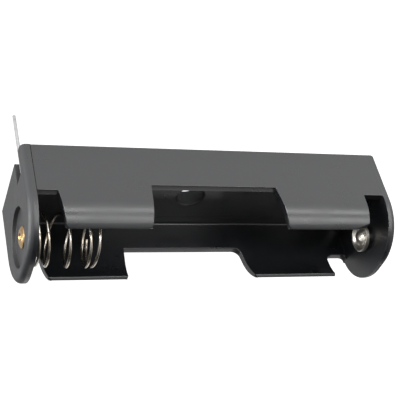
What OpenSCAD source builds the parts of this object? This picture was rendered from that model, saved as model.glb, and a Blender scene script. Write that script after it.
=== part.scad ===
// Through-hole holder for one 18650 cell: moulded trough with two end plates,
// inward-curving clip walls, a riveted coil spring (-X) and a riveted cup contact (+X).
// Millimetres. X runs along the cell, Z out of the opening, z = 0 is the board side.

/* [Body] */
// overall length over the two end plates
body_l = 77; // [76:0.5:79]
// width over the -X end plate
body_w = 22.4; // [22:0.1:23]
// how far each side of the walls sits inside the -X end plate
wall_inset = 0.15; // [0:0.05:0.3]
// side wall thickness
wall_t = 1.6; // [1.4:0.1:1.8]
// floor thickness
floor_t = 3.6; // [3.2:0.1:3.8]
// fillet where the floor meets each wall
floor_fillet = 0.5; // [0.3:0.1:0.8]

/* [End plates] */
// height of both end plates
plate_h = 21.5; // [21:0.1:22.5]
// -X end plate thickness
neg_plate_t = 2; // [1.9:0.1:2.4]
// +X end plate thickness
pos_plate_t = 1.8; // [1.7:0.1:2.2]
// radius of the two upper corners
corner_r = 9.7; // [7:0.1:10]
// rounding of the outer rim
rim_r = 1.2; // [0.6:0.1:1.3]
// height of the contact axis
contact_z = 13.9; // [13.5:0.1:14.1]
// radius of the round recess in each outer face
recess_r = 5.9; // [5:0.1:6.2]
// depth of that recess
recess_depth = 0.9; // [0.6:0.1:1]

/* [Clip walls] */
// largest cell diameter the bay takes
cell_d = 18.6; // [18.4:0.1:18.7]
// outer corner of the clip lip, in from the wall face
lip_inset = 2.35; // [2.2:0.05:2.5]
// outer corner of the clip lip, above the board side
lip_z = 18.1; // [17.9:0.1:18.4]
// floor of the end notches, above the board side
end_notch_z = 10.9; // [10.5:0.1:11.5]
// floor of the end notch of the -Y wall beside the cup contact
far_end_notch_z = 11.9; // [11:0.1:12]
// floor of the middle notch, above the board side
mid_notch_z = 9.4; // [8.5:0.1:10]
// floor of the middle notch of the -Y wall
far_mid_notch_z = 10; // [9.5:0.1:10.3]
// -X clip: start and end along X at its foot
neg_clip_x = [-32.5, -14];
// -X clip: start and end along X at its lip
neg_lip_x = [-31.4, -14.6];
// +X clip: start and end along X at its foot
pos_clip_x = [12.4, 32.2];
// +X clip: start and end along X at its lip
pos_lip_x = [13.9, 32.2];
// how much nearer to -X the -Y wall has the end of its -X clip, and the start and end of its +X clip
far_clip_offset = [0.5, 1, 0.3];
// radius of the clip lip corners
lip_corner_r = 0.9; // [0.5:0.1:1]
// cut-away on the lip beside the cup contact: length and height
lip_cut = [3.2, 0.9];
// fillet at the foot of the +X clip of the -Y wall
foot_fillet = 1.8; // [1:0.1:2]
// fillets in the end notch beside the cup contact, -Y wall
notch_fillet = 1.3; // [0.4:0.1:1.5]

/* [Floor hole] */
// radius of the hole in the floor
hole_r = 2.7; // [2.2:0.1:3]
// place of the hole along X
hole_x = -1.3; // [-2:0.1:0]
// chamfer round the top of the hole
hole_chamfer = 0.4; // [0.2:0.1:0.6]

/* [Terminals] */
// terminal wire diameter
pin_d = 0.7; // [0.6:0.05:0.8]
// pin axis, in from the outer face of its end plate
pin_in = 0.8; // [0.75:0.05:0.85]
// pin axis, to the side of the cell axis
pin_y = 6.95; // [6.5:0.05:7.2]
// pin length below the board side
pin_l = 10.6; // [3:0.1:12]
// side slot for each pin: nearest and furthest edge from the cell axis
slot_y = [5, 8.9];
// top of the slot and of its window, above the board side
slot_z = 5.3; // [5.2:0.1:5.6]
// depth of the slot
slot_depth = 1.3; // [1.25:0.05:1.35]
// radius the wire tapers to in its slot, where the full pin begins
neck_r = 0.34; // [0.33:0.005:0.345]
// width of the window that lets the wire through
window_w = 2.4; // [1.5:0.1:3]

/* [Spring] */
// spring wire diameter
spring_wire = 0.6; // [0.5:0.05:0.7]
// coil radius at the plate, to the wire centre
coil_r0 = 5.3; // [5:0.1:5.4]
// coil radius at the free end, to the wire centre
coil_r1 = 5.1; // [4.6:0.1:5.2]
// pitch of the open coils
open_pitch = 4; // [3.6:0.1:4.3]
// pitch of the closed coils
closed_pitch = 0.78; // [0.75:0.01:0.9]
// lean of the coils along X, top against bottom
coil_lean = 0.3; // [0:0.05:0.4]
// lean of the coils along X, +Y side against -Y side
coil_skew = 0.4; // [0:0.05:0.5]
// rise of the free end
coil_rise = 0.7; // [0:0.1:0.8]

/* [Contacts] */
// rivet shank radius
shank_r = 1; // [0.9:0.05:1]
// hole in the end plate for the shank
shank_hole_r = 1.05; // [1.05:0.01:1.1]
// outer rivet head radius
head_r = 2.2; // [1.8:0.1:2.6]
// outer rivet head height
head_h = 0.55; // [0.4:0.05:0.7]
// cup contact radius
cup_r = 3.05; // [2.8:0.05:3.2]
// cup contact height, back to rim
cup_h = 0.95; // [0.8:0.05:1.1]
// sheet thickness of the cup contact
cup_t = 0.3; // [0.25:0.05:0.35]
// radius of the dome of the + rivet
dome_r = 1.85; // [1.6:0.05:1.85]
// height of that dome above the cup floor
dome_h = 1.1; // [0.8:0.1:1.3]

/* [Hidden] */
eps = 0.01;
gap = 0.02;
far = 60;
half_l = body_l / 2;
neg_face = -half_l + neg_plate_t;
pos_face = half_l - pos_plate_t;
body_half = body_w / 2 - wall_inset;
bay_half = body_half - wall_t;
seat_z = floor_t + cell_d / 2;
lip_y = body_half - lip_inset;
// outer arc of a clip: tangent to the wall face at seat_z, through the lip corner
clip_r = (pow(lip_z - seat_z, 2) + pow(lip_inset, 2)) / (2 * lip_inset);
lip_angle = atan2(lip_z - seat_z, lip_y - body_half + clip_r);
wire_r = pin_d / 2;
ring_r = shank_hole_r + wire_r;
bend_in = 0.75;
bend_out = neg_plate_t - pin_in + wire_r - bend_in;
bend_in_pos = 0.65;
bend_out_pos = pos_plate_t - pin_in + wire_r - bend_in_pos;
leg_z = (floor_t + slot_z) / 2;
elbow_r = 1.2;
coil_x0 = neg_face + pin_d + gap + spring_wire / 2;
cup_back = pos_face - pin_d - gap;

// corner of an outline with an arc of radius r, as points
function unit(v) = v / norm(v);
function round_corner(a, p, b, r, n = 6) =
    let (u = unit(a - p), v = unit(b - p), h = acos(u * v) / 2, c = p + unit(u + v) * (r / sin(h)))
    let (s = p + u * (r / tan(h)) - c, e = p + v * (r / tan(h)) - c)
    let (t0 = atan2(s[1], s[0]), d = atan2(e[1], e[0]) - t0, w = d > 180 ? d - 360 : d < -180 ? d + 360 : d)
    [for (i = [0:n]) c + r * [cos(t0 + w * i / n), sin(t0 + w * i / n)]];

// one end plate, outer face at x = 0, material towards +x
module rim_section(len, thick, r) {
    difference() {
        square([thick, len]);
        translate([0, len - r]) square([r, r + eps]);
    }
    intersection() {
        translate([r, len - r]) circle(r = r, $fn = 48);
        translate([0, len - r]) square([r, r]);
    }
}

module plate_quarter(half, thick) {
    side = half - corner_r;
    linear_extrude(plate_h - corner_r) rim_section(half, thick, rim_r);
    translate([0, side, plate_h - corner_r])
        rotate([90, 0, 90])
            rotate_extrude(angle = 90, $fn = 96)
                mirror([1, -1, 0])
                    rim_section(corner_r, thick, rim_r);
    translate([0, side, plate_h - corner_r])
        rotate([90, 0, 0])
            linear_extrude(side)
                rim_section(corner_r, thick, rim_r);
}

module end_plate(half, thick) {
    plate_quarter(half, thick);
    mirror([0, 1, 0]) plate_quarter(half, thick);
}

// section of one wall with its clip, in the (y, z) plane
module wall_section() {
    translate([bay_half, 0]) square([wall_t, seat_z]);
    difference() {
        intersection() {
            translate([body_half - clip_r, seat_z]) circle(r = clip_r, $fn = 128);
            translate([body_half - clip_r, seat_z])
                polygon([[0, 0], [20, 0], [20 * cos(lip_angle), 20 * sin(lip_angle)]]);
        }
        translate([0, seat_z]) circle(r = bay_half, $fn = 128);
    }
    translate([bay_half, floor_t])
        polygon(concat([[0, 0]], round_corner([-far, 0], [0, 0], [0, far], floor_fillet)));
}

// gaps between the clips, in the (x, z) plane
module notches(is_far) {
    top = lip_z + 5;
    offset = is_far ? far_clip_offset : [0, 0, 0];
    mid_z = is_far ? far_mid_notch_z : mid_notch_z;
    end_z = is_far ? far_end_notch_z : end_notch_z;
    nf = [neg_clip_x[0], end_notch_z];
    nl = [neg_lip_x[0], lip_z];
    mf = [neg_clip_x[1] - offset[0], mid_z];
    ml = [neg_lip_x[1] - offset[0], lip_z];
    qf = [pos_clip_x[0] - offset[1], mid_z];
    ql = [pos_lip_x[0] - offset[1], lip_z];
    rf = [pos_clip_x[1] - offset[2], end_z];
    re = [pos_lip_x[1] - offset[2], lip_z];
    // the +Y lip is cut away beside the cup contact
    rl = re - [0, is_far ? 0 : lip_cut[1]];
    rc = re - [is_far ? 0 : lip_cut[0], 0];
    rp = [pos_face, end_z];
    polygon(concat(
        [[neg_face, top], [neg_face, end_notch_z], nf],
        round_corner(nf, nl, nl + [9, 0], lip_corner_r),
        [nl + [3, 0], nl + [3, top - lip_z]]
    ));
    polygon(concat(
        [[ml[0] - 3, top], [ml[0] - 3, lip_z]],
        round_corner(ml - [9, 0], ml, mf, lip_corner_r),
        [mf],
        is_far ? round_corner(mf, qf, ql, foot_fillet) : [qf],
        round_corner(qf, ql, ql + [9, 0], lip_corner_r),
        [ql + [3, 0], [ql[0] + 3, top]]
    ));
    polygon(concat(
        [[pos_face, top]],
        is_far ? round_corner([pos_face, top], rp, rf, notch_fillet) : [rp],
        is_far ? round_corner(rp, rf, rl, notch_fillet) : [rf],
        is_far ? [rl, [rl[0], top]] : [rl, rc, [rc[0], top]]
    ));
}

module wall(is_far) {
    difference() {
        translate([neg_face, 0, 0])
            rotate([90, 0, 90])
                linear_extrude(pos_face - neg_face)
                    wall_section();
        translate([0, far / 2, 0])
            rotate([90, 0, 0])
                linear_extrude(far / 2)
                    notches(is_far);
    }
}

// slot, window and recess of one plate, outer face at x = 0, pin side at +y
module plate_cuts(thick) {
    window_y = pin_y - window_w / 2;
    translate([-1, slot_y[0], -1]) cube([1 + slot_depth, slot_y[1] - slot_y[0], slot_z + 1]);
    translate([0, window_y, floor_t]) cube([thick + 1, window_w, slot_z - floor_t]);
    translate([-1, 0, contact_z]) rotate([0, 90, 0]) cylinder(h = 1 + recess_depth, r = recess_r, $fn = 96);
    translate([0, 0, contact_z]) rotate([0, 90, 0]) cylinder(h = thick + 1, r = shank_hole_r, $fn = 48);
}

module housing() {
    color([0.06, 0.06, 0.065])
    difference() {
        union() {
            translate([neg_face - eps, -bay_half - eps, 0])
                cube([pos_face - neg_face + 2 * eps, 2 * (bay_half + eps), floor_t]);
            wall(false);
            mirror([0, 1, 0]) wall(true);
            translate([-half_l, 0, 0]) end_plate(body_w / 2, neg_plate_t);
            translate([half_l, 0, 0]) rotate([0, 0, 180]) end_plate(body_half, pos_plate_t);
        }
        translate([-half_l, 0, 0]) plate_cuts(neg_plate_t);
        translate([half_l, 0, 0]) rotate([0, 0, 180]) plate_cuts(pos_plate_t);
        translate([hole_x, 0, -1]) cylinder(h = floor_t + 2, r = hole_r, $fn = 64);
        translate([hole_x, 0, floor_t - hole_chamfer])
            cylinder(h = hole_chamfer + eps, r1 = hole_r, r2 = hole_r + hole_chamfer + eps, $fn = 64);
    }
}

// one terminal wire for the plate whose outer face is at x = 0, pin side at +y
module quarter_bend(r) {
    rotate_extrude(angle = 90, $fn = 64)
        translate([r, 0])
            circle(r = wire_r, $fn = 32);
}

module rod(len) {
    cylinder(h = len, r = wire_r, $fn = 32);
}

module terminal(thick, r_in, r_out) {
    x_in = thick + wire_r;
    pin_top = leg_z - r_out;
    // open ring round the rivet, leg down the plate, elbow, then sideways to the window
    translate([x_in, 0, contact_z])
        rotate([90, 0, 90])
            rotate_extrude(angle = 285, $fn = 64)
                translate([ring_r, 0])
                    circle(r = wire_r, $fn = 32);
    translate([x_in, ring_r, leg_z + elbow_r]) rod(contact_z - leg_z - elbow_r);
    translate([x_in, ring_r + elbow_r, leg_z + elbow_r])
        rotate([90, 0, 90]) rotate([0, 0, 180]) quarter_bend(elbow_r);
    translate([x_in, ring_r + elbow_r, leg_z]) rotate([-90, 0, 0]) rod(pin_y - r_in - ring_r - elbow_r);
    // out through the window and down the slot
    translate([x_in - r_in, pin_y - r_in, leg_z]) quarter_bend(r_in);
    translate([pin_in + r_out, pin_y, pin_top]) rotate([-90, 0, 0]) rotate([0, 0, 180]) quarter_bend(r_out);
    translate([pin_in, pin_y, 0]) cylinder(h = pin_top, r1 = neck_r, r2 = wire_r, $fn = 32);
    translate([pin_in, pin_y, -pin_l]) rod(pin_l);
}

module negative_pin() {
    color([0.8, 0.8, 0.8])
    translate([-half_l, 0, 0]) terminal(neg_plate_t, bend_in, bend_out);
}

module positive_pin() {
    color([0.8, 0.8, 0.8])
    translate([half_l, 0, 0]) rotate([0, 0, 180]) terminal(pos_plate_t, bend_in_pos, bend_out_pos);
}

// spring: one swept wire; t counts turns, 0 at the start of the first closed coil
spiral_turns = 1.25;
loop_turns = 0.7;
coil_turns = 4.5;
steps = 28;
sides = 8;
start_angle = 37;
loop_r = shank_r + spring_wire / 2 + 0.12;
function ramp(a, b, t) = min(max((t - a) / (b - a), 0), 1);
// travel along x after t turns: closed, open from 0.45 to 1, closed again from 3 to 3.6
function ramp_area(a, b, t) = t <= a ? 0 : t >= b ? (b - a) / 2 + t - b : pow(t - a, 2) / (2 * (b - a));
function travel(t) = t <= 0 ? 0 : closed_pitch * t + (open_pitch - closed_pitch) * (ramp_area(0.45, 1, t) - ramp_area(3, 3.6, t));
function coil_radius(t) = t <= -spiral_turns ? loop_r
    : t <= 0 ? loop_r + (coil_r0 - loop_r) * (t + spiral_turns) / spiral_turns
    : coil_r0 + (coil_r1 - coil_r0) * ramp(0, 1.5, t);
function wire_point(t) =
    let (a = start_angle + 360 * t, r = coil_radius(t), k = ramp(0.3, 1.2, t))
    [coil_x0 + travel(t) + k * (coil_skew * cos(a) - coil_lean * sin(a)), r * cos(a), contact_z + coil_rise * ramp(0, 2, t) + r * sin(a)];
function wire_ring(t) =
    let (p = wire_point(t), d = unit(wire_point(t + 0.002) - wire_point(t - 0.002)))
    let (u = unit(cross(d, [1, 0, 0])), v = cross(d, u))
    [for (j = [0:sides - 1]) p + spring_wire / 2 * (cos(360 * j / sides) * u + sin(360 * j / sides) * v)];

module negative_spring() {
    first = -spiral_turns - loop_turns;
    count = round((coil_turns - first) * steps);
    rings = [for (i = [0:count]) wire_ring(first + (coil_turns - first) * i / count)];
    points = [for (ring = rings, p = ring) p];
    walls = [for (i = [0:count - 1], j = [0:sides - 1])
        [i * sides + j, i * sides + (j + 1) % sides, (i + 1) * sides + (j + 1) % sides, (i + 1) * sides + j]];
    start_cap = [[for (j = [0:sides - 1]) sides - 1 - j]];
    end_cap = [[for (j = [0:sides - 1]) count * sides + j]];
    color([0.75, 0.72, 0.68])
    polyhedron(points, concat(walls, start_cap, end_cap), convexity = 10);
}

// brass rivet of the spring: low head in the recess, shank, closing head on the loop
module negative_rivet() {
    seat = recess_depth;
    inner = neg_plate_t + pin_d + spring_wire + 3 * gap;
    color([0.78, 0.58, 0.28])
    translate([-half_l, 0, contact_z])
        rotate([0, 90, 0])
            rotate_extrude($fn = 48)
                polygon([[0, seat - 0.35], [0.7, seat - 0.35], [0.9, seat - head_h],
                    [1.5, seat - head_h], [head_r - 0.1, seat - 0.25], [head_r, seat - 0.1], [head_r, seat],
                    [shank_r, seat], [shank_r, inner], [2, inner], [2, inner + 0.25], [1.6, inner + 0.5], [0, inner + 0.5]]);
}

// nickelled cup of the + contact, open towards the cell
module positive_cup() {
    color([0.78, 0.76, 0.72])
    translate([cup_back, 0, contact_z])
        rotate([0, -90, 0])
            rotate_extrude($fn = 64)
                polygon([[shank_hole_r, 0], [cup_r - 0.12, 0], [cup_r, 0.12], [cup_r, cup_h - 0.15],
                    [cup_r - 0.1, cup_h - 0.03], [cup_r - 0.25, cup_h], [cup_r - 0.4, cup_h - 0.05],
                    [cup_r - 0.52, cup_h - 0.2], [cup_r - 1, cup_t + 0.05], [cup_r - 1.15, cup_t], [shank_hole_r, cup_t]]);
}

// rivet of the + contact: domed head in the cup, shank, closing head in the recess
module positive_rivet() {
    outer = pos_plate_t + pin_d + gap + cup_t;
    sphere_r = (pow(dome_r, 2) + pow(dome_h - 0.3, 2)) / (2 * (dome_h - 0.3));
    color([0.8, 0.79, 0.77])
    translate([half_l, 0, contact_z])
        rotate([0, -90, 0])
            rotate_extrude($fn = 48)
                polygon(concat(
                    [[0, recess_depth - 0.35], [0.7, recess_depth - 0.35], [0.9, recess_depth - head_h],
                        [1.5, recess_depth - head_h], [head_r, recess_depth - 0.15], [head_r, recess_depth],
                        [shank_r, recess_depth], [shank_r, outer + gap], [dome_r, outer + gap]],
                    [for (i = [0:8])
                        let (z = 0.3 + (dome_h - 0.3) * sin(90 * i / 8))
                        [sqrt(max(pow(sphere_r, 2) - pow(z - 0.3 + sphere_r - (dome_h - 0.3), 2), 0)), outer + gap + z]]
                ));
}

housing();
negative_spring();
negative_rivet();
negative_pin();
positive_cup();
positive_rivet();
positive_pin();
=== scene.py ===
import bpy, bmesh, math
from mathutils import Vector, Matrix


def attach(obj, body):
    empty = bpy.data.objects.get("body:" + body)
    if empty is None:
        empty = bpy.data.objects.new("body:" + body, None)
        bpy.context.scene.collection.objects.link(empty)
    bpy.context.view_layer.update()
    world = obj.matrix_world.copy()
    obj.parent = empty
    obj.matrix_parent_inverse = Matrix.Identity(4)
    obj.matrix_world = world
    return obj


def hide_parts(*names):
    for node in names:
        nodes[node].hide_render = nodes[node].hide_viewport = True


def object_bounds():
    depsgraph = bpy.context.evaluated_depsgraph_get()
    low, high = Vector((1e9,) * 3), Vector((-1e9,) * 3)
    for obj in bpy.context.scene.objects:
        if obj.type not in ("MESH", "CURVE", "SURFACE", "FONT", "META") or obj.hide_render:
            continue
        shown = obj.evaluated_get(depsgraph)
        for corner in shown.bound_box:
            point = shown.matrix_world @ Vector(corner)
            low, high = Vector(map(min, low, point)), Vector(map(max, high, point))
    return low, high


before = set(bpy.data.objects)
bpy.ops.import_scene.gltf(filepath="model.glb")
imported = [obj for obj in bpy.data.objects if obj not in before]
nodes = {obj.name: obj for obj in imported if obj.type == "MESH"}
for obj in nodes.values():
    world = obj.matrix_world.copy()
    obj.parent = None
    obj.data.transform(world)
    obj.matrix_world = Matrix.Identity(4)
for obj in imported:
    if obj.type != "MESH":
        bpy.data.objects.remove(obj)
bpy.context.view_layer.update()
scene = bpy.context.scene
mm = 0.001
print("frame loaded:", sorted(nodes))


def newMaterial(name):
    mat = bpy.data.materials.new(name)
    mat.use_nodes = True
    tree = mat.node_tree
    shader = next(n for n in tree.nodes if n.type == "BSDF_PRINCIPLED")
    return mat, tree, shader


def objectCoords(tree, scale=(1, 1, 1)):
    coord = tree.nodes.new("ShaderNodeTexCoord")
    mapping = tree.nodes.new("ShaderNodeMapping")
    mapping.inputs["Scale"].default_value = scale
    tree.links.new(coord.outputs["Object"], mapping.inputs["Vector"])
    return mapping.outputs["Vector"]


def noiseOf(tree, vector, scale, detail=2, rough=0.5):
    noise = tree.nodes.new("ShaderNodeTexNoise")
    noise.inputs["Scale"].default_value = scale
    noise.inputs["Detail"].default_value = detail
    noise.inputs["Roughness"].default_value = rough
    tree.links.new(vector, noise.inputs["Vector"])
    return noise.outputs["Fac"]


def rampOf(tree, fac, low, high, start=0.0, end=1.0):
    mapRange = tree.nodes.new("ShaderNodeMapRange")
    mapRange.inputs["From Min"].default_value = start
    mapRange.inputs["From Max"].default_value = end
    mapRange.inputs["To Min"].default_value = low
    mapRange.inputs["To Max"].default_value = high
    tree.links.new(fac, mapRange.inputs["Value"])
    return mapRange.outputs["Result"]


def mathOf(tree, operation, a, b=None):
    node = tree.nodes.new("ShaderNodeMath")
    node.operation = operation
    for slotIndex, value in enumerate((a, b)):
        if value is None:
            continue
        if isinstance(value, (int, float)):
            node.inputs[slotIndex].default_value = value
        else:
            tree.links.new(value, node.inputs[slotIndex])
    return node.outputs["Value"]


def mixColour(tree, fac, a, b):
    mix = tree.nodes.new("ShaderNodeMix")
    mix.data_type = "RGBA"
    tree.links.new(fac, mix.inputs["Factor"])
    mix.inputs["A"].default_value = (*a, 1)
    mix.inputs["B"].default_value = (*b, 1)
    return mix.outputs["Result"]


def addBump(tree, shader, height, strength, distance):
    bump = tree.nodes.new("ShaderNodeBump")
    bump.inputs["Strength"].default_value = strength
    bump.inputs["Distance"].default_value = distance
    tree.links.new(height, bump.inputs["Height"])
    tree.links.new(bump.outputs["Normal"], shader.inputs["Normal"])


moulding = {
    "dark": (0.007, 0.008, 0.0095),
    "light": (0.012, 0.013, 0.015),
    "roughness": (0.26, 0.36),
    "specular": 0.9,
    "grainScale": 5200,      # fine spark-eroded texture of the end plates
    "grainHeight": 0.00009,
    "endRoughness": 0.22,
    "wallGrain": 0.12,       # share of that grain on the polished walls
    "cloudScale": 160,
    "plateInnerX": (36.3 * mm, 36.4 * mm),
    "plateGrainX": (36.4 * mm, 36.6 * mm),
    "endFaceX": (37.3 * mm, 37.5 * mm),
    "floorZ": (3.0 * mm, 3.2 * mm),
    "floorLineY": 7.0 * mm,
    "floorLineSide": (0.05 * mm, 0.13 * mm),
    "holeX": -1.3 * mm,
    "holeRadius": 2.7 * mm,
    "holeBlend": (0.1 * mm, 0.4 * mm),
    "holeDull": 0.5,
}


def mouldingMaterial():
    mat, tree, shader = newMaterial("blackMoulding")
    vector = objectCoords(tree)
    cloud = noiseOf(tree, vector, moulding["cloudScale"], 3, 0.55)
    fine = noiseOf(tree, vector, moulding["grainScale"], 2, 0.6)
    colour = mixColour(tree, cloud, moulding["dark"], moulding["light"])
    tree.links.new(colour, shader.inputs["Base Color"])
    position = tree.nodes.new("ShaderNodeSeparateXYZ")
    tree.links.new(vector, position.inputs["Vector"])
    # the wall of the floor hole is left dull
    holeDistance = tree.nodes.new("ShaderNodeVectorMath")
    holeDistance.operation = "DISTANCE"
    flat = tree.nodes.new("ShaderNodeCombineXYZ")
    tree.links.new(position.outputs["X"], flat.inputs["X"])
    tree.links.new(position.outputs["Y"], flat.inputs["Y"])
    tree.links.new(flat.outputs["Vector"], holeDistance.inputs[0])
    holeDistance.inputs[1].default_value = (moulding["holeX"], 0, 0)
    holeStart, holeEnd = (moulding["holeRadius"] + past for past in moulding["holeBlend"])
    dull = rampOf(tree, holeDistance.outputs["Value"], moulding["holeDull"], 0.0, holeStart, holeEnd)
    satin = rampOf(tree, cloud, *moulding["roughness"], 0.3, 0.7)
    # the outer end faces are rougher, and their grain is strong; the polished walls have a trace of it
    outwards = mathOf(tree, "ABSOLUTE", position.outputs["X"])
    coarse = rampOf(tree, outwards, 0.0, moulding["endRoughness"], *moulding["endFaceX"])
    roughness = mathOf(tree, "ADD", mathOf(tree, "ADD", satin, dull), coarse)
    tree.links.new(roughness, shader.inputs["Roughness"])
    shader.inputs["Specular IOR Level"].default_value = moulding["specular"]
    endwards = rampOf(tree, outwards, moulding["wallGrain"], 1.0, *moulding["plateGrainX"])
    # a shallow mould line runs along the bay's floor beside the -Y wall
    besideLine = mathOf(tree, "ABSOLUTE", mathOf(tree, "ADD", position.outputs["Y"], moulding["floorLineY"]))
    line = rampOf(tree, besideLine, 0.0, 1.0, *moulding["floorLineSide"])
    onPlates = rampOf(tree, outwards, 0.0, 1.0, *moulding["plateInnerX"])
    belowFloor = rampOf(tree, position.outputs["Z"], 1.0, 0.0, *moulding["floorZ"])
    line = mathOf(tree, "MAXIMUM", line, mathOf(tree, "MAXIMUM", onPlates, belowFloor))
    relief = mathOf(tree, "ADD", mathOf(tree, "MULTIPLY", fine, endwards), line)
    addBump(tree, shader, relief, 0.5, moulding["grainHeight"])
    return mat


housing = {
    "edgeRadius": 0.14 * mm,
    "edgeSegments": 2,
    "sharpAngle": 32,
    "flatAngle": 0.6,
    "mergeDistance": 0.002 * mm,
}


def makeHousing():
    copy = bpy.data.objects.new("housingMoulding", nodes["housing"].data.copy())
    scene.collection.objects.link(copy)
    bm = bmesh.new()
    bm.from_mesh(copy.data)
    bmesh.ops.remove_doubles(bm, verts=bm.verts, dist=housing["mergeDistance"])
    bmesh.ops.dissolve_limit(bm, angle_limit=math.radians(housing["flatAngle"]), verts=bm.verts,
                             edges=bm.edges, delimit={"NORMAL"})
    sharpFrom = math.radians(housing["sharpAngle"])
    sharp = [e for e in bm.edges if len(e.link_faces) == 2 and e.calc_face_angle(0) > sharpFrom]
    bmesh.ops.bevel(bm, geom=sharp, offset=housing["edgeRadius"], offset_type="OFFSET", affect="EDGES",
                    segments=housing["edgeSegments"], profile=0.5, material=-1, clamp_overlap=False)
    for face in bm.faces:
        face.smooth = True
    bm.to_mesh(copy.data)
    bm.free()
    copy.data.materials.clear()
    copy.data.materials.append(mouldingMaterial())
    weighted = copy.modifiers.new("weighted", "WEIGHTED_NORMAL")
    weighted.keep_sharp = True
    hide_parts("housing")
    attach(copy, "root")
    print("housing:", len(copy.data.polygons), "faces")
    return copy


makeHousing()


metals = {
    "spring": {"colour": (0.66, 0.62, 0.56), "tint": (0.50, 0.42, 0.33), "roughness": (0.16, 0.30)},
    "brass": {"colour": (0.60, 0.41, 0.19), "tint": (0.40, 0.24, 0.11), "roughness": (0.18, 0.38)},
    "tinned": {"colour": (0.66, 0.66, 0.67), "tint": (0.52, 0.52, 0.53), "roughness": (0.22, 0.38)},
    "nickel": {"colour": (0.82, 0.79, 0.73), "tint": (0.66, 0.61, 0.53), "roughness": (0.26, 0.42)},
}


def metalMaterial(name):
    values = metals[name]
    mat, tree, shader = newMaterial(name + "Metal")
    vector = objectCoords(tree)
    cloud = noiseOf(tree, vector, 700, 3, 0.6)
    scratch = noiseOf(tree, objectCoords(tree, (1, 6, 6)), 2600, 2, 0.5)
    patches = rampOf(tree, cloud, 0, 1, 0.35, 0.7)
    colour = mixColour(tree, patches, values["colour"], values["tint"])
    tree.links.new(colour, shader.inputs["Base Color"])
    tree.links.new(rampOf(tree, scratch, *values["roughness"], 0.3, 0.7), shader.inputs["Roughness"])
    shader.inputs["Metallic"].default_value = 1
    addBump(tree, shader, scratch, 0.2, 0.00002)
    return mat


def dressNode(nodeName, mat):
    mesh = nodes[nodeName].data
    mesh.materials.clear()
    mesh.materials.append(mat)


brassMetal = metalMaterial("brass")
tinnedMetal = metalMaterial("tinned")
nickelMetal = metalMaterial("nickel")
springMetal = metalMaterial("spring")
dressNode("negative_rivet", brassMetal)
dressNode("negative_pin", tinnedMetal)
dressNode("positive_pin", tinnedMetal)
dressNode("positive_cup", nickelMetal)
dressNode("positive_rivet", nickelMetal)
print("metal parts dressed")

# the coil's route, as the solid has it, in turns from the start of the first closed coil
spring = {
    "wireRadius": 0.3 * mm,
    "start": (-35.48, 13.9),        # x of the first closed coil and height of the axis
    "turns": (-1.95, -1.25, 4.5),   # end of the loop, end of the spiral, free end
    "radii": (1.42, 5.3, 5.1),      # loop, closed coil at the plate, free end
    "pitch": (0.78, 4.0),           # closed, open
    "lean": (0.3, 0.4),             # top against bottom, one side against the other
    "rise": 0.7,
    "startAngle": 37,
    "pointsPerTurn": 64,
}


def share(a, b, t):
    return min(max((t - a) / (b - a), 0), 1)


def sharedArea(a, b, t):
    if t <= a:
        return 0
    if t >= b:
        return (b - a) / 2 + t - b
    return (t - a) ** 2 / (2 * (b - a))


def springPoint(t):
    closed, opened = spring["pitch"]
    loop, first, last = spring["radii"]
    spiralStart = spring["turns"][1]
    angle = math.radians(spring["startAngle"] + 360 * t)
    if t <= 0:
        travel = 0
        radius = loop + (first - loop) * share(spiralStart, 0, t)
    else:
        travel = closed * t + (opened - closed) * (sharedArea(0.45, 1, t) - sharedArea(3, 3.6, t))
        radius = first + (last - first) * share(0, 1.5, t)
    lean, skew = spring["lean"]
    tilt = share(0.3, 1.2, t) * (skew * math.cos(angle) - lean * math.sin(angle))
    height = spring["start"][1] + spring["rise"] * share(0, 2, t)
    across = radius * math.cos(angle)
    return Vector((spring["start"][0] + travel + tilt, across, height + radius * math.sin(angle))) * mm


def makeSpring():
    begin, _, end = spring["turns"]
    count = round((end - begin) * spring["pointsPerTurn"])
    curve = bpy.data.curves.new("coilSpring", "CURVE")
    curve.dimensions = "3D"
    curve.bevel_depth = spring["wireRadius"]
    curve.bevel_resolution = 4
    curve.use_fill_caps = True
    spline = curve.splines.new("POLY")
    spline.points.add(count)
    for step, point in enumerate(spline.points):
        point.co = (*springPoint(begin + (end - begin) * step / count), 1)
    curve.materials.append(springMetal)
    piece = bpy.data.objects.new("coilSpring", curve)
    scene.collection.objects.link(piece)
    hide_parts("negative_spring")
    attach(piece, "root")
    print("spring:", count, "steps")
    return piece


makeSpring()


stage = {
    "floorSize": 3.0,
    "floorDrop": 0.0002,
    "cameraGlow": 0.95,
    "glossGlow": (0.3, 1.1),  # in a reflection: behind the object, and in front of it
    # how bright the surroundings look in a reflection: sine of the elevation, strength
    "skyProfile": [(0.0, 0.6), (0.12, 0.25), (0.3, 0.25), (0.42, 1.0), (0.6, 0.9), (0.85, 0.2), (1.0, 0.1)],
    "farSide": 0.14,          # share left of that on the side behind the object
    "ambient": (0.42, 0.05),  # diffuse light from the horizon and from overhead
}


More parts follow.
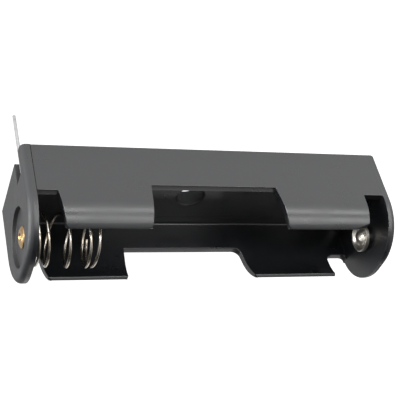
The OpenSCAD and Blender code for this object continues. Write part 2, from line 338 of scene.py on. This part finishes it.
def makeFloor():
    low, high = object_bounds()
    bm = bmesh.new()
    bmesh.ops.create_grid(bm, x_segments=1, y_segments=1, size=stage["floorSize"])
    bmesh.ops.translate(bm, verts=bm.verts, vec=(0, 0, low[2] - stage["floorDrop"]))
    mesh = bpy.data.meshes.new("studioFloor")
    bm.to_mesh(mesh)
    bm.free()
    floor = bpy.data.objects.new("studioFloor", mesh)
    scene.collection.objects.link(floor)
    mat, tree, shader = newMaterial("paleFloor")
    shader.inputs["Base Color"].default_value = (0.9, 0.9, 0.9, 1)
    shader.inputs["Roughness"].default_value = 0.9
    glow = tree.nodes.new("ShaderNodeEmission")
    glow.inputs["Color"].default_value = (1, 1, 1, 1)
    light = tree.nodes.new("ShaderNodeLightPath")
    seen = mathOf(tree, "MULTIPLY", light.outputs["Is Camera Ray"], stage["cameraGlow"])
    floorAxes = tree.nodes.new("ShaderNodeSeparateXYZ")
    tree.links.new(objectCoords(tree), floorAxes.inputs["Vector"])
    frontwards = rampOf(tree, floorAxes.outputs["Y"], *stage["glossGlow"], 0.0, 0.025)
    mirrored = mathOf(tree, "MULTIPLY", light.outputs["Is Glossy Ray"], frontwards)
    tree.links.new(mathOf(tree, "ADD", seen, mirrored), glow.inputs["Strength"])
    both = tree.nodes.new("ShaderNodeAddShader")
    tree.links.new(shader.outputs["BSDF"], both.inputs[0])
    tree.links.new(glow.outputs["Emission"], both.inputs[1])
    output = next(n for n in tree.nodes if n.type == "OUTPUT_MATERIAL")
    tree.links.new(both.outputs["Shader"], output.inputs["Surface"])
    mesh.materials.append(mat)
    return floor


makeFloor()

world = bpy.data.worlds.new("studioWorld")
scene.world = world
world.use_nodes = True
worldTree = world.node_tree
background = next(n for n in worldTree.nodes if n.type == "BACKGROUND")
background.inputs["Color"].default_value = (1, 1, 1, 1)
lightPath = worldTree.nodes.new("ShaderNodeLightPath")
skyCoord = worldTree.nodes.new("ShaderNodeTexCoord")
skyAxes = worldTree.nodes.new("ShaderNodeSeparateXYZ")
worldTree.links.new(skyCoord.outputs["Generated"], skyAxes.inputs["Vector"])
skyRamp = worldTree.nodes.new("ShaderNodeValToRGB")
while len(skyRamp.color_ramp.elements) < len(stage["skyProfile"]):
    skyRamp.color_ramp.elements.new(0.5)
for element, (height, level) in zip(skyRamp.color_ramp.elements, stage["skyProfile"]):
    element.position = height
    element.color = (level, level, level, 1)
worldTree.links.new(skyAxes.outputs["Z"], skyRamp.inputs["Fac"])
sideLevel = rampOf(worldTree, skyAxes.outputs["Y"], stage["farSide"], 1.0, -0.3, 0.3)
mirrorLevel = mathOf(worldTree, "MULTIPLY", skyRamp.outputs["Color"], sideLevel)
ambientLevel = rampOf(worldTree, skyAxes.outputs["Z"], *stage["ambient"], 0.0, 0.5)
glossPart = mathOf(worldTree, "MULTIPLY", lightPath.outputs["Is Glossy Ray"], mirrorLevel)
diffusePart = mathOf(worldTree, "MULTIPLY", lightPath.outputs["Is Diffuse Ray"], ambientLevel)
unseenPart = mathOf(worldTree, "ADD", glossPart, diffusePart)
skyLevel = mathOf(worldTree, "ADD", lightPath.outputs["Is Camera Ray"], unseenPart)
worldTree.links.new(skyLevel, background.inputs["Strength"])

lamps = [
    {"name": "keyLamp", "place": (0.1, 0.72, 0.36), "size": (1.5, 0.22), "watts": 3.8},
    {"name": "lowLamp", "place": (0.1, 0.8, 0.03), "size": (1.5, 0.14), "watts": 4.0},
    {"name": "endLamp", "place": (-0.7, 0.06, 0.02), "size": (0.6, 0.06), "watts": 6.0},
    {"name": "backLamp", "place": (0.3, -0.9, 0.2), "size": (0.8, 0.8), "watts": 2.0},
]


def makeLamp(lamp):
    data = bpy.data.lights.new(lamp["name"], "AREA")
    data.shape = "RECTANGLE"
    data.size, data.size_y = lamp["size"]
    data.energy = lamp["watts"]
    obj = bpy.data.objects.new(lamp["name"], data)
    scene.collection.objects.link(obj)
    obj.location = lamp["place"]
    obj.rotation_mode = "QUATERNION"
    obj.rotation_quaternion = (-Vector(lamp["place"])).to_track_quat("-Z", "Y")
    return obj


for lamp in lamps:
    makeLamp(lamp)

camera = {
    "place": (-78.31, 161.54, 128.12),
    "forward": (0.3617, -0.7401, -0.5670),
    "up": (-0.0129, 0.6041, -0.7968),
    "lens": 94.49,
}


def makeCamera():
    data = bpy.data.cameras.new("photoCamera")
    data.sensor_width = 36
    data.lens = camera["lens"]
    data.clip_start, data.clip_end = 0.01, 20
    obj = bpy.data.objects.new("photoCamera", data)
    scene.collection.objects.link(obj)
    forward = Vector(camera["forward"]).normalized()
    right = forward.cross(Vector(camera["up"])).normalized()
    up = right.cross(forward)
    turn = Matrix((right, up, -forward)).transposed().to_4x4()
    obj.matrix_world = Matrix.Translation(Vector(camera["place"]) * mm) @ turn
    scene.camera = obj


makeCamera()
scene.view_settings.view_transform = "Standard"
print("stage ready")
